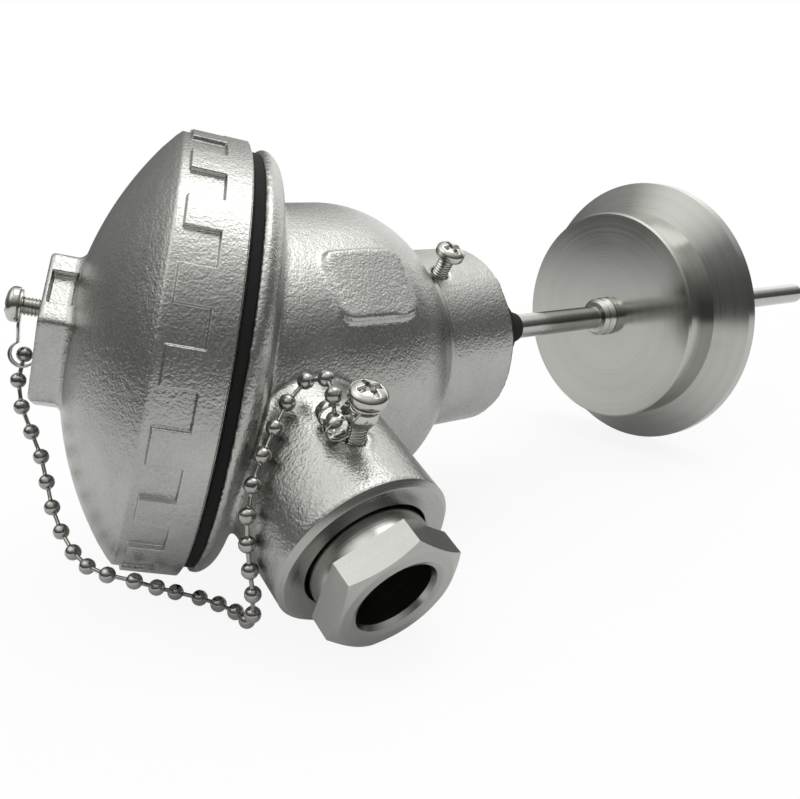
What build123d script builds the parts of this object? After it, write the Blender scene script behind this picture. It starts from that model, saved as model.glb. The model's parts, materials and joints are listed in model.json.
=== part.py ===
from build123d import *
import os
from math import atan2, cos, degrees, pi, radians, sin, sqrt, tan

# A temperature sensor lying on a bench. A cast connection head with a chained screw cap
# stands on a short neck. A thin probe leaves the neck, passes a clamp ferrule that is
# welded on, and ends in a closed tip. Millimetres.
# Head axes: Z runs away from the tip along the probe, X along the cable entry, and the
# two axes meet at the origin.

# Cast head
head_tilt = 25.7
flange_offset = -0.8
flange_height = 2.0
flange_width = 4.1
flange_edge = 1.4
flange_taper_radius = 36.5
flange_taper_depth = 6.1
body_radius = 34.2
body_wall = 4.2
shoulder_radius = 25.5
shoulder_height = -23.0
neck_radius = 22.3
neck_fillet = 5.0
neck_end = -65.7
chamber_floor = -28.0
pad_length = 19.0
pad_width = 16.0
pad_rise = 0.6
pad_angle = 62.0
pad_height = -18.0
fit = 0.05
seat_gap = 0.02

# Thread between head and cap
collar_radius = 42.0
collar_wall = 4.5
collar_height = 9.5

# Cap
gasket_height = 1.9
gasket_width = 3.2
rim_chamfer = 1.2
band_width = 4.2
key_rise = 0.9
key_ring_start = 2.9
key_ring_end = 7.7
key_tooth_end = 14.3
key_count = 20
key_phase = 69.0
band_end = 15.6
bevel_width = 4.7
dome_radius = 73.0
dome_apex = 32.7
cap_wall = 4.2
boss_across_flats = 30.4
boss_top = 37.2
boss_phase = 42.7
pocket_width = 8.0
pocket_height = 5.3
pocket_depth = 1.7
pocket_lip = 1.0

# Small screws, all alike
screw_radius = 2.0
screw_head_radius = 3.7
screw_head_height = 2.9
screw_recess = 1.0
screw_point = 0.5
cap_screw_place = (-2.5, 3.7)
cap_screw_stand = 4.9
cap_screw_depth = 6.0
conduit_screw_along = 46.5
conduit_screw_angle = 93.0
conduit_screw_stand = 9.3
boss_pad_width = 1.2
boss_pad_rise = 0.3
neck_screw_height = -49.5
neck_screw_angle = 83.0
neck_screw_stand = 5.0

# Clasps of the chain
clasp_sheet = 0.45
clasp_width = 6.0
clasp_washer = 3.4
clasp_bend = 2.4
clasp_inner = 1.9
clasp_sweep = 290.0
clasp_slot = 1.8
cap_clasp_angle = -57.0
cap_clasp_reach = 10.0
cap_clasp_drop = 0.0
conduit_clasp_angle = -132.0
conduit_clasp_reach = 4.45
conduit_clasp_drop = 4.2

# Ball chain, whose route is chosen by hand above the bench, from clasp to clasp
chain_ball_radius = 1.65
chain_link_radius = 0.4
chain_ball_count = 31
chain_route = [
    (-41.2, 14.3, 38.8),
    (-39.8, 9.5, 28.7),
    (-40.6, 3.2, 19.7),
    (-40.0, -4.8, 12.5),
    (-37.6, -15.0, 10.5),
    (-33.6, -19.4, 9.5),
    (-26.6, -18.4, 4.9),
    (-21.6, -18.0, 2.0),
    (-18.8, -24.2, 1.9),
    (-17.6, -32.9, 2.4),
    (-18.5, -38.6, 3.9),
    (-19.4, -41.9, 9.3),
    (-21.0, -43.9, 20.7),
    (-19.9, -44.2, 32.3),
    (-13.6, -42.0, 41.7),
    (-9.0, -39.9, 46.0),
    (-4.9, -39.8, 49.2),
    (-3.6, -43.5, 50.3),
    (-5.1, -48.9, 49.4),
]

# Cable entry
entry_radius = 18.4
entry_stub = 41.5
entry_end = 59.4
entry_chamfer = 1.1
entry_bore = 8.6
entry_seat = 40.0
entry_thread = 10.0
counterbore_radius = 13.0
counterbore_depth = 4.0
seal_length = 9.0
seal_bore = 5.0
washer_height = 1.2
nut_collar_radius = 12.4
nut_shank_tail = 1.8
nut_hex_start = 63.9
nut_hex_end = 70.5
nut_across_flats = 25.1
nut_corner_chamfer = 1.3
nut_bore = 8.2
nut_bore_round = 1.6
nut_phase = 90.0

# Neck and probe
bushing_radius = 8.5
bushing_top = -44.0
bushing_end = -79.8
nose_end = -87.0
nose_radius = 3.9
wire_bore = 6.0
probe_radius = 3.3
probe_wall = 0.7
probe_tip = -230.3
bead_height = -124.8
bead_radius = 5.6
bead_pitch = 2.4

# Clamp ferrule
ferrule_radius = 38.75
ferrule_edge = 2.85
ferrule_rise = 4.1
hub_radius = 30.4
hub_height = 10.6
groove_radius = 35.3
groove_half_width = 1.6
groove_depth = 1.4

# Insert in the chamber
plate_radius = 21.0
plate_height = 2.0
block_radius = 13.1
block_height = 9.0
block_bore = 3.2
stud_spacing = 33.0
stud_radius = 1.6
stud_head_radius = 3.0
stud_head_height = 2.2
spring_height = 8.0
spring_radius = 2.6
spring_wire = 0.4
spring_turns = 4.5
terminal_ring = 9.5
terminal_count = 3
terminal_width = 5.0
terminal_height = 3.6
terminal_screw_radius = 1.2
terminal_screw_head = 2.0
lead_radius = 0.45
lead_ring = 1.3
powder_gap = 0.05
element_radius = 1.3
element_length = 20.0
element_end_gap = 1.6

# Radii that follow from the collar
flange_radius = collar_radius + flange_width
gasket_radius = collar_radius + gasket_width
band_radius = collar_radius + band_width
key_radius = band_radius + key_rise
bevel_radius = band_radius - bevel_width

os.makedirs("parts", exist_ok=True)


def turned_vector(frame, direction):
    """A direction given in a frame's own axes, as a vector outside it."""
    x, y, z = direction
    return frame.x_dir * x + frame.y_dir * y + frame.z_dir * z


def framed(frame, origin=(0, 0, 0), x_dir=(1, 0, 0), z_dir=(0, 0, 1)):
    """A plane given in another plane's own coordinates."""
    return Plane(
        origin=frame.origin + turned_vector(frame, origin),
        x_dir=turned_vector(frame, x_dir),
        z_dir=turned_vector(frame, z_dir),
    )


def side(frame):
    """The plane through a frame's axis: local x is the radius, local y the height."""
    return Plane(origin=frame.origin, x_dir=frame.x_dir, z_dir=-frame.y_dir)


def spin(frame):
    """The axis of a frame."""
    return Axis(frame.origin, frame.z_dir)


def turn(frame, outline, mode=Mode.ADD):
    """Revolve a closed outline of (radius, height) points about a frame's axis."""
    with BuildSketch(side(frame)) as profile:
        with BuildLine():
            Polyline(*outline, close=True)
        make_face()
    revolve(profile.sketch, axis=spin(frame), mode=mode)


def pillar(frame, radius, low, high, mode=Mode.ADD):
    """A cylinder on a frame's axis between two heights."""
    with BuildSketch(framed(frame, (0, 0, low))) as disc:
        Circle(radius)
    extrude(disc.sketch, amount=high - low, mode=mode)


def ring(frame, outer, inner, low, high, mode=Mode.ADD):
    """A plain ring on a frame's axis between two heights."""
    turn(frame, [(inner, low), (outer, low), (outer, high), (inner, high)], mode)


def pan_screw(frame, radius, depth, head_radius, head_height):
    """A cross-recessed pan-head screw: the frame's origin is under its head."""
    turn(
        frame,
        [
            (0, -depth),
            (radius - screw_point, -depth),
            (radius, screw_point - depth),
            (radius, 0),
            (head_radius, 0),
            (head_radius, head_height * 0.55),
            (head_radius * 0.86, head_height * 0.86),
            (head_radius * 0.6, head_height),
            (0, head_height),
        ],
    )
    with BuildSketch(framed(frame, (0, 0, head_height))) as cross:
        Rectangle(head_radius * 1.25, head_radius * 0.28)
        Rectangle(head_radius * 0.28, head_radius * 1.25)
    extrude(cross.sketch, amount=-screw_recess, mode=Mode.SUBTRACT)


def chain_clasp(frame, reach_out, drop):
    """A strip with a washer end on the frame's origin and an end rolled round a ball."""
    pillar(frame, clasp_washer, 0, clasp_sheet)
    outer = clasp_inner + clasp_sheet
    roll = framed(frame, (reach_out, 0, -drop - clasp_inner))
    with BuildSketch(side(roll)) as strip:
        with BuildLine():
            Polyline(
                (0, clasp_inner),
                (clasp_bend - reach_out, clasp_inner + drop),
                (-reach_out, clasp_inner + drop),
                (-reach_out, outer + drop),
                (clasp_bend - reach_out, outer + drop),
                (0, outer),
            )
            outside = CenterArc((0, 0), outer, 90, -clasp_sweep)
            inside = CenterArc((0, 0), clasp_inner, 90, -clasp_sweep)
            Line(inside @ 1, outside @ 1)
        make_face()
    extrude(strip.sketch, amount=clasp_width / 2, both=True)
    with BuildSketch(side(roll)) as slot:
        with Locations((outer + 0.1, 0)):
            Rectangle(2 * outer, 2.6 * outer)
    extrude(slot.sketch, amount=clasp_slot / 2, both=True, mode=Mode.SUBTRACT)
    pillar(frame, screw_radius + fit, -1, clasp_sheet + 1, Mode.SUBTRACT)


def clasp_ball(frame, reach_out, drop):
    """The middle of the ball that a clasp is rolled round."""
    return frame.from_local_coords((reach_out, 0, -drop - clasp_inner))


# Rest pose. In head axes, the sensor lies on the cap's raised ring, on one corner of
# the gland nut and on the ferrule's rim.
cap_axis = Vector(-sin(radians(head_tilt)), 0, cos(radians(head_tilt)))
cap_side = Vector(cos(radians(head_tilt)), 0, sin(radians(head_tilt)))
flange_place = Vector(flange_offset, 0, flange_height)
head_y = Vector(0, 1, 0)
head_z = Vector(0, 0, 1)
nut_corner_radius = nut_across_flats / 2 / cos(radians(30))
nut_corner_end = nut_hex_end - nut_corner_chamfer * tan(radians(30))
rim_back = bead_height - hub_height - ferrule_rise
rim_front = rim_back - ferrule_edge


def circle_foot(centre, axis, radius, down):
    """The lowest point of a circle."""
    across = down - axis * down.dot(axis)
    return centre + across.normalized() * radius


def nut_corners():
    """The corners of the gland nut where its end chamfer starts, and at its back."""
    for index in range(6):
        angle = radians(nut_phase + 60 * index)
        for along in (nut_hex_start, nut_corner_end):
            yield Vector(along, nut_corner_radius * sin(angle), nut_corner_radius * cos(angle))


def feet(down):
    """The three points that touch the bench for a downward direction."""
    cap_foot = circle_foot(flange_place + cap_axis * key_ring_start, cap_axis, key_radius, down)
    nut_foot = max(nut_corners(), key=lambda point: point.dot(down))
    rim_feet = [
        circle_foot(head_z * height, head_z, ferrule_radius, down)
        for height in (rim_back, rim_front)
    ]
    return cap_foot, nut_foot, max(rim_feet, key=lambda point: point.dot(down))


down = Vector(0.465, -0.885, -0.04).normalized()
for _ in range(60):
    cap_foot, nut_foot, rim_foot = feet(down)
    normal = (nut_foot - cap_foot).cross(rim_foot - cap_foot).normalized()
    down = normal if normal.dot(down) > 0 else -normal
up = -down
rest_height = cap_foot.dot(down)
east = (-head_z + up * head_z.dot(up)).normalized()
north = up.cross(east)

# The outline circles and points that reach furthest, for the middle of the footprint
screw_tip_height = boss_top + cap_screw_stand + screw_head_height
reach_circles = [
    (flange_place + cap_axis * key_ring_start, cap_axis, key_radius),
    (flange_place + cap_axis * key_tooth_end, cap_axis, key_radius),
    (
        flange_place
        + cap_side * cap_screw_place[0]
        + head_y * cap_screw_place[1]
        + cap_axis * screw_tip_height,
        cap_axis,
        screw_head_radius * 0.6,
    ),
    (
        flange_place
        + cap_side * cap_screw_place[0]
        + head_y * cap_screw_place[1]
        + cap_axis * (screw_tip_height - screw_head_height * 0.45),
        cap_axis,
        screw_head_radius,
    ),
    (head_z * rim_back, head_z, ferrule_radius),
    (head_z * rim_front, head_z, ferrule_radius),
    (head_z * (probe_tip + probe_radius), head_z, probe_radius),
    (head_z * probe_tip, head_z, 0.01),
]


def reach(direction):
    """How far the sensor reaches from the head's origin in one direction."""
    circles = [
        centre.dot(direction) + radius * sqrt(max(0.0, 1 - axis.dot(direction) ** 2))
        for centre, axis, radius in reach_circles
    ]
    return max(circles + [corner.dot(direction) for corner in nut_corners()])


centre_east = (reach(east) - reach(-east)) / 2
centre_north = (reach(north) - reach(-north)) / 2
bench = Plane(origin=(-centre_east, -centre_north, 0))
head = Plane(
    origin=bench.origin + Vector(0, 0, rest_height),
    x_dir=(east.X, north.X, up.X),
    z_dir=(east.Z, north.Z, up.Z),
)
flange = framed(
    head,
    (flange_offset, 0, flange_height),
    (cap_side.X, 0, cap_side.Z),
    (cap_axis.X, 0, cap_axis.Z),
)
entry = framed(head, (0, 0, 0), (0, 0, 1), (1, 0, 0))
print("rest height", round(rest_height, 2), "down", tuple(round(v, 4) for v in down))

# Sizes that follow
bore_radius = collar_radius + fit
chamber_radius = body_radius - body_wall
dome_centre = dome_apex - dome_radius
bevel_top = dome_centre + sqrt(dome_radius**2 - bevel_radius**2)
inner_dome = dome_radius - cap_wall
inner_dome_foot = dome_centre + sqrt(inner_dome**2 - (bevel_radius - cap_wall) ** 2)
seal_end = entry_seat + seal_length
washer_end = seal_end + washer_height
counterbore_start = entry_end - counterbore_depth
thread_bore = entry_thread + fit
plate_top = chamber_floor + plate_height
block_top = plate_top + block_height

# The chamber and the mouth that the cap closes
with BuildPart() as chamber:
    pillar(head, chamber_radius, chamber_floor, body_radius)
    split(bisect_by=flange, keep=Keep.BOTTOM)
    pillar(flange, collar_radius - collar_wall, 0, collar_height + 1)

screw_seat_plane = framed(
    head,
    (0, 0, neck_screw_height),
    (0, 0, 1),
    (cos(radians(neck_screw_angle)), sin(radians(neck_screw_angle)), 0),
)
conduit_screw_axis = (0, sin(radians(conduit_screw_angle)), -cos(radians(conduit_screw_angle)))
boss_screw_plane = framed(head, (conduit_screw_along, 0, 0), (1, 0, 0), conduit_screw_axis)
pad_plane = framed(
    head,
    (0, 0, pad_height),
    (0, 0, 1),
    (cos(radians(pad_angle)), sin(radians(pad_angle)), 0),
)

with BuildPart() as head_body:
    shoulder_centre = body_radius - shoulder_radius
    fillet_centre = neck_radius + neck_fillet
    fillet_drop = sqrt(
        (shoulder_radius + neck_fillet) ** 2 - (fillet_centre - shoulder_centre) ** 2
    )
    shoulder_turn = degrees(atan2(fillet_drop, fillet_centre - shoulder_centre))
    fillet_height = shoulder_height - fillet_drop
    with BuildSketch(side(head)) as shell:
        with BuildLine():
            Line((0, body_radius), (body_radius, body_radius))
            Line((body_radius, body_radius), (body_radius, shoulder_height))
            CenterArc((shoulder_centre, shoulder_height), shoulder_radius, 0, -shoulder_turn)
            CenterArc(
                (fillet_centre, fillet_height), neck_fillet, 180 - shoulder_turn, shoulder_turn
            )
            Line((neck_radius, fillet_height), (neck_radius, neck_end))
            Line((neck_radius, neck_end), (0, neck_end))
            Line((0, neck_end), (0, body_radius))
        make_face()
    revolve(axis=spin(head))
    pillar(entry, entry_radius, 0, entry_stub)
    split(bisect_by=framed(flange, (0, 0, -flange_edge)), keep=Keep.BOTTOM)
    # Flange with its rounded back, and the threaded collar
    with BuildSketch(side(flange)) as rim:
        with BuildLine():
            Polyline(
                (0, -flange_taper_depth),
                (0, collar_height),
                (collar_radius - 1, collar_height),
                (collar_radius, collar_height - 1),
                (collar_radius, 0),
                (flange_radius, 0),
                (flange_radius, -flange_edge),
            )
            ThreePointArc(
                (flange_radius, -flange_edge),
                (flange_radius - 1.3, -flange_edge - 1.8),
                (flange_radius - 4.2, -flange_edge - 3.2),
            )
            Polyline(
                (flange_radius - 4.2, -flange_edge - 3.2),
                (flange_taper_radius, -flange_taper_depth),
                (0, -flange_taper_depth),
            )
        make_face()
    revolve(axis=spin(flange))
    # The bare raised pad on the shoulder
    with BuildSketch(framed(pad_plane, (0, 0, body_radius - body_wall / 2))):
        RectangleRounded(pad_length, pad_width, 3)
    extrude(amount=body_wall / 2 + pad_rise)
    add(chamber.part, mode=Mode.SUBTRACT)
    # Neck bore, with the step that the bushing seats on
    pillar(head, wire_bore, bushing_top - 1, chamber_floor + 1, Mode.SUBTRACT)
    pillar(head, bushing_radius + fit, neck_end - 1, bushing_top, Mode.SUBTRACT)
    # Entry bore, thread and counterbore
    pillar(entry, entry_bore, chamber_radius - 8, entry_seat + 1, Mode.SUBTRACT)
    pillar(entry, thread_bore, entry_seat, entry_stub + 1, Mode.SUBTRACT)
    # Screw holes
    pillar(
        screw_seat_plane,
        screw_radius + fit,
        bushing_radius - 1,
        neck_radius + 1,
        Mode.SUBTRACT,
    )
    with BuildSketch(framed(head, (0, 0, chamber_floor))):
        with GridLocations(0, stud_spacing, 1, 2):
            Circle(stud_radius + fit)
    extrude(amount=-4, mode=Mode.SUBTRACT)
head_body.part.label = "head_body"
export_step(head_body.part, "parts/head_body.step")

# The rest of the same casting, kept apart so that the entry stays open in simulation
with BuildPart() as entry_boss:
    turn(
        entry,
        [
            (0, entry_stub),
            (entry_radius, entry_stub),
            (entry_radius, entry_end - entry_chamfer),
            (entry_radius - entry_chamfer, entry_end),
            (0, entry_end),
        ],
    )
    pillar(
        boss_screw_plane,
        screw_radius + boss_pad_width,
        entry_thread + 3,
        entry_radius + boss_pad_rise,
    )
    pillar(entry, thread_bore, entry_stub - 1, entry_end + 1, Mode.SUBTRACT)
    pillar(entry, counterbore_radius, counterbore_start, entry_end + 1, Mode.SUBTRACT)
    pillar(
        boss_screw_plane,
        screw_radius + fit,
        thread_bore + 1.2,
        entry_radius + 2,
        Mode.SUBTRACT,
    )
entry_boss.part.label = "entry_boss"
export_step(entry_boss.part, "parts/entry_boss.step")

with BuildPart() as cap_gasket:
    ring(flange, gasket_radius, bore_radius, seat_gap, gasket_height - seat_gap)
cap_gasket.part.label = "cap_gasket"
export_step(cap_gasket.part, "parts/cap_gasket.step")

# Cap
with BuildPart() as cap:
    with BuildSketch(side(flange)) as shell:
        with BuildLine():
            Polyline(
                (bore_radius, gasket_height),
                (band_radius - rim_chamfer, gasket_height),
                (band_radius, gasket_height + rim_chamfer * 0.8),
                (band_radius, band_end),
                (band_radius - 0.9, band_end + 1.3),
                (bevel_radius, bevel_top),
            )
            ThreePointArc(
                (bevel_radius, bevel_top),
                (bevel_radius / 2, dome_centre + sqrt(dome_radius**2 - bevel_radius**2 / 4)),
                (0, dome_apex),
            )
            Line((0, dome_apex), (0, dome_apex - cap_wall))
            ThreePointArc(
                (0, dome_apex - cap_wall),
                (
                    (bevel_radius - cap_wall) / 2,
                    dome_centre + sqrt(inner_dome**2 - (bevel_radius - cap_wall) ** 2 / 4),
                ),
                (bevel_radius - cap_wall, inner_dome_foot),
            )
            Polyline(
                (bevel_radius - cap_wall, inner_dome_foot),
                (bore_radius, collar_height + 1.5),
                (bore_radius, gasket_height),
            )
        make_face()
    revolve(axis=spin(flange))
    # Raised ring of the key pattern, and its teeth
    turn(
        flange,
        [
            (bore_radius + 1, gasket_height + rim_chamfer),
            (band_radius - 0.1, gasket_height + rim_chamfer * 0.8),
            (key_radius, key_ring_start),
            (key_radius, key_ring_end),
            (bore_radius + 1, key_ring_end),
        ],
    )
    tooth_span = 180 / key_count
    with BuildSketch(framed(flange, (0, 0, key_ring_end - 0.5))) as teeth:
        for index in range(key_count):
            start = key_phase - tooth_span / 2 - index * 2 * tooth_span
            with BuildLine():
                outside = CenterArc((0, 0), key_radius, start, tooth_span)
                inside = CenterArc((0, 0), bore_radius + 1.5, start, tooth_span)
                Line(outside @ 0, inside @ 0)
                Line(outside @ 1, inside @ 1)
            make_face()
    extrude(amount=key_tooth_end - key_ring_end + 0.5)
    # Hexagonal boss with a pocket in one face
    with BuildSketch(framed(flange, (0, 0, dome_apex - cap_wall / 2))):
        RegularPolygon(boss_across_flats / 2, 6, major_radius=False, rotation=boss_phase)
    extrude(amount=boss_top - dome_apex + cap_wall / 2)
    facet_angle = radians(boss_phase + 30)
    facet = framed(
        flange,
        (
            boss_across_flats / 2 * cos(facet_angle),
            boss_across_flats / 2 * sin(facet_angle),
            boss_top - pocket_lip - pocket_height / 2,
        ),
        (-sin(facet_angle), cos(facet_angle), 0),
        (cos(facet_angle), sin(facet_angle), 0),
    )
    with BuildSketch(facet):
        Rectangle(pocket_width, pocket_height)
    extrude(amount=-pocket_depth, mode=Mode.SUBTRACT)
    cap_screw_plane = framed(
        flange, (cap_screw_place[0], cap_screw_place[1], boss_top + cap_screw_stand)
    )
    pillar(
        cap_screw_plane,
        screw_radius + fit,
        -cap_screw_stand - cap_screw_depth - 0.5,
        1,
        Mode.SUBTRACT,
    )
cap.part.label = "cap"
export_step(cap.part, "parts/cap.step")

# Screws and clasps
with BuildPart() as cap_screw:
    pan_screw(
        cap_screw_plane,
        screw_radius,
        cap_screw_stand + cap_screw_depth,
        screw_head_radius,
        screw_head_height,
    )
cap_screw.part.label = "cap_screw"
export_step(cap_screw.part, "parts/cap_screw.step")

cap_clasp_turn = radians(cap_clasp_angle)
cap_clasp_plane = framed(
    cap_screw_plane,
    (0, 0, -clasp_sheet - seat_gap),
    (cos(cap_clasp_turn), sin(cap_clasp_turn), 0),
)
with BuildPart() as cap_clasp:
    chain_clasp(cap_clasp_plane, cap_clasp_reach, cap_clasp_drop)
cap_clasp.part.label = "cap_clasp"
export_step(cap_clasp.part, "parts/cap_clasp.step")

conduit_screw_plane = framed(
    boss_screw_plane, (0, 0, entry_radius + conduit_screw_stand), (0, 1, 0)
)
with BuildPart() as conduit_screw:
    pan_screw(
        conduit_screw_plane,
        screw_radius,
        entry_radius + conduit_screw_stand - thread_bore - 1.5,
        screw_head_radius,
        screw_head_height,
    )
conduit_screw.part.label = "conduit_screw"
export_step(conduit_screw.part, "parts/conduit_screw.step")

conduit_clasp_turn = radians(conduit_clasp_angle)
conduit_clasp_plane = framed(
    boss_screw_plane,
    (0, 0, entry_radius + conduit_screw_stand - clasp_sheet - seat_gap),
    (cos(conduit_clasp_turn), sin(conduit_clasp_turn), 0),
)
with BuildPart() as conduit_clasp:
    chain_clasp(conduit_clasp_plane, conduit_clasp_reach, conduit_clasp_drop)
conduit_clasp.part.label = "conduit_clasp"
export_step(conduit_clasp.part, "parts/conduit_clasp.step")

neck_screw_plane = framed(screw_seat_plane, (0, 0, neck_radius + neck_screw_stand))
with BuildPart() as neck_screw:
    pan_screw(
        neck_screw_plane,
        screw_radius,
        neck_radius + neck_screw_stand - bushing_radius - 0.3,
        screw_head_radius,
        screw_head_height,
    )
neck_screw.part.label = "neck_screw"
export_step(neck_screw.part, "parts/neck_screw.step")

# Cable entry
with BuildPart() as gland_seal:
    ring(entry, entry_thread - 0.1, seal_bore, entry_seat + seat_gap, seal_end)
gland_seal.part.label = "gland_seal"
export_step(gland_seal.part, "parts/gland_seal.step")

with BuildPart() as gland_washer:
    ring(entry, entry_thread - 0.1, seal_bore + 0.8, seal_end + seat_gap, washer_end)
gland_washer.part.label = "gland_washer"
export_step(gland_washer.part, "parts/gland_washer.step")

with BuildPart() as gland_nut:
    turn(
        entry,
        [
            (nut_bore, washer_end + seat_gap),
            (entry_thread - 0.8, washer_end + seat_gap),
            (entry_thread, washer_end + 0.8),
            (entry_thread, counterbore_start + nut_shank_tail),
            (nut_collar_radius, counterbore_start + nut_shank_tail),
            (nut_collar_radius, nut_hex_start),
            (nut_bore, nut_hex_start),
        ],
    )
    with BuildSketch(framed(entry, (0, 0, nut_hex_start))) as hexagon:
        RegularPolygon(nut_across_flats / 2, 6, major_radius=False, rotation=nut_phase)
        Circle(nut_bore, mode=Mode.SUBTRACT)
    extrude(amount=nut_hex_end - nut_hex_start)
    # Corner chamfer and the rounded mouth of the bore
    chamfer_rise = (nut_corner_radius + 1 - nut_across_flats / 2) * tan(radians(30))
    turn(
        entry,
        [
            (nut_across_flats / 2 - 0.6, nut_hex_end),
            (nut_corner_radius + 1, nut_hex_end - chamfer_rise),
            (nut_corner_radius + 1, nut_hex_end + 1),
            (nut_across_flats / 2 - 0.6, nut_hex_end + 1),
        ],
        Mode.SUBTRACT,
    )
    turn(
        entry,
        [
            (nut_bore - 0.5, nut_hex_end - nut_bore_round),
            (nut_bore, nut_hex_end - nut_bore_round),
            (nut_bore + nut_bore_round * 0.3, nut_hex_end - nut_bore_round * 0.3),
            (nut_bore + nut_bore_round, nut_hex_end),
            (nut_bore + nut_bore_round, nut_hex_end + 1),
            (nut_bore - 0.5, nut_hex_end + 1),
        ],
        Mode.SUBTRACT,
    )
gland_nut.part.label = "gland_nut"
export_step(gland_nut.part, "parts/gland_nut.step")

# Neck bushing and probe
with BuildPart() as neck_bushing:
    turn(
        head,
        [
            (probe_radius + fit, bushing_top - seat_gap),
            (bushing_radius, bushing_top - seat_gap),
            (bushing_radius, bushing_end),
            (nose_radius + 1.6, bushing_end - 2.4),
            (nose_radius, nose_end),
            (probe_radius + fit, nose_end),
        ],
    )
neck_bushing.part.label = "neck_bushing"
export_step(neck_bushing.part, "parts/neck_bushing.step")

probe_inner = probe_radius - probe_wall
with BuildPart() as sheath:
    with BuildSketch(side(head)) as wall:
        with BuildLine():
            Line((probe_inner, plate_top), (probe_radius, plate_top))
            Line((probe_radius, plate_top), (probe_radius, probe_tip + probe_radius))
            CenterArc((0, probe_tip + probe_radius), probe_radius, 0, -90)
            Line((0, probe_tip), (0, probe_tip + probe_wall))
            CenterArc((0, probe_tip + probe_radius), probe_inner, 0, -90)
            Line((probe_inner, probe_tip + probe_radius), (probe_inner, plate_top))
        make_face()
    revolve(axis=spin(head))
sheath.part.label = "sheath"
export_step(sheath.part, "parts/sheath.step")

powder_radius = probe_inner - powder_gap
powder_end = probe_tip + probe_radius + element_end_gap
element_top = powder_end + element_length
with BuildPart() as insulation:
    pillar(head, powder_radius, powder_end, plate_top)
    pillar(head, element_radius + fit, powder_end - 1, element_top + fit, Mode.SUBTRACT)
    with BuildSketch(framed(head, (0, 0, element_top - 1))):
        with PolarLocations(lead_ring, terminal_count):
            Circle(lead_radius + fit)
    extrude(amount=plate_top - element_top + 2, mode=Mode.SUBTRACT)
insulation.part.label = "insulation"
export_step(insulation.part, "parts/insulation.step")

with BuildPart() as sensing_element:
    pillar(head, element_radius, powder_end, element_top)
sensing_element.part.label = "sensing_element"
export_step(sensing_element.part, "parts/sensing_element.step")

# Weld bead in two ridges, and the clamp ferrule
with BuildPart() as weld_bead:
    valley = bead_radius - 0.9
    turn(
        head,
        [
            (probe_radius + fit, bead_height + seat_gap),
            (bead_radius - 0.5, bead_height + seat_gap),
            (bead_radius, bead_height + bead_pitch * 0.5),
            (valley, bead_height + bead_pitch),
            (bead_radius - 0.3, bead_height + bead_pitch * 1.5),
            (valley - 0.3, bead_height + bead_pitch * 1.95),
            (probe_radius + fit, bead_height + bead_pitch * 2.1),
        ],
    )
weld_bead.part.label = "weld_bead"
export_step(weld_bead.part, "parts/weld_bead.step")

with BuildPart() as ferrule:
    turn(
        head,
        [
            (probe_radius + fit, bead_height),
            (hub_radius - 0.5, bead_height),
            (hub_radius, bead_height - 0.5),
            (hub_radius, bead_height - hub_height),
            (ferrule_radius, rim_back),
            (ferrule_radius, rim_front),
            (groove_radius + groove_half_width, rim_front),
            (groove_radius + groove_half_width * 0.6, rim_front + groove_depth),
            (groove_radius - groove_half_width * 0.6, rim_front + groove_depth),
            (groove_radius - groove_half_width, rim_front),
            (probe_radius + fit, rim_front),
        ],
    )
ferrule.part.label = "ferrule"
export_step(ferrule.part, "parts/ferrule.step")

# Insert plate, ceramic block, terminals and leads
with BuildPart() as insert_plate:
    with BuildSketch(framed(head, (0, 0, chamber_floor + seat_gap))):
        Circle(plate_radius)
        Circle(probe_radius + fit, mode=Mode.SUBTRACT)
        with GridLocations(0, stud_spacing, 1, 2):
            Circle(stud_radius + fit, mode=Mode.SUBTRACT)
    extrude(amount=plate_height - seat_gap)
insert_plate.part.label = "insert_plate"
export_step(insert_plate.part, "parts/insert_plate.step")

with BuildPart() as terminal_block:
    with BuildSketch(framed(head, (0, 0, plate_top + seat_gap))):
        Circle(block_radius)
        Circle(block_bore, mode=Mode.SUBTRACT)
    extrude(amount=block_height - seat_gap)
    with BuildSketch(framed(head, (0, 0, block_top))):
        with PolarLocations(terminal_ring, terminal_count):
            Circle(terminal_screw_radius + fit)
    extrude(amount=-6, mode=Mode.SUBTRACT)
terminal_block.part.label = "terminal_block"
export_step(terminal_block.part, "parts/terminal_block.step")

with BuildPart() as terminals:
    with BuildSketch(framed(head, (0, 0, block_top + seat_gap))):
        with PolarLocations(terminal_ring, terminal_count):
            Rectangle(terminal_width, terminal_width)
            Circle(terminal_screw_radius + fit, mode=Mode.SUBTRACT)
    extrude(amount=terminal_height)
terminals.part.label = "terminals"
export_step(terminals.part, "parts/terminals.step")

terminal_top = block_top + seat_gap + terminal_height
with BuildPart() as terminal_screws:
    for index in range(terminal_count):
        angle = 2 * pi * index / terminal_count
        place = (
            terminal_ring * cos(angle),
            terminal_ring * sin(angle),
            terminal_top + seat_gap,
        )
        pan_screw(
            framed(head, place),
            terminal_screw_radius,
            terminal_height + 5,
            terminal_screw_head,
            1.6,
        )
terminal_screws.part.label = "terminal_screws"
export_step(terminal_screws.part, "parts/terminal_screws.step")

stud_head_base = plate_top + spring_height
with BuildPart() as block_screws:
    for offset in (-stud_spacing / 2, stud_spacing / 2):
        pan_screw(
            framed(head, (0, offset, stud_head_base)),
            stud_radius,
            spring_height + plate_height + 3.5,
            stud_head_radius,
            stud_head_height,
        )
block_screws.part.label = "block_screws"
export_step(block_screws.part, "parts/block_screws.step")

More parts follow.
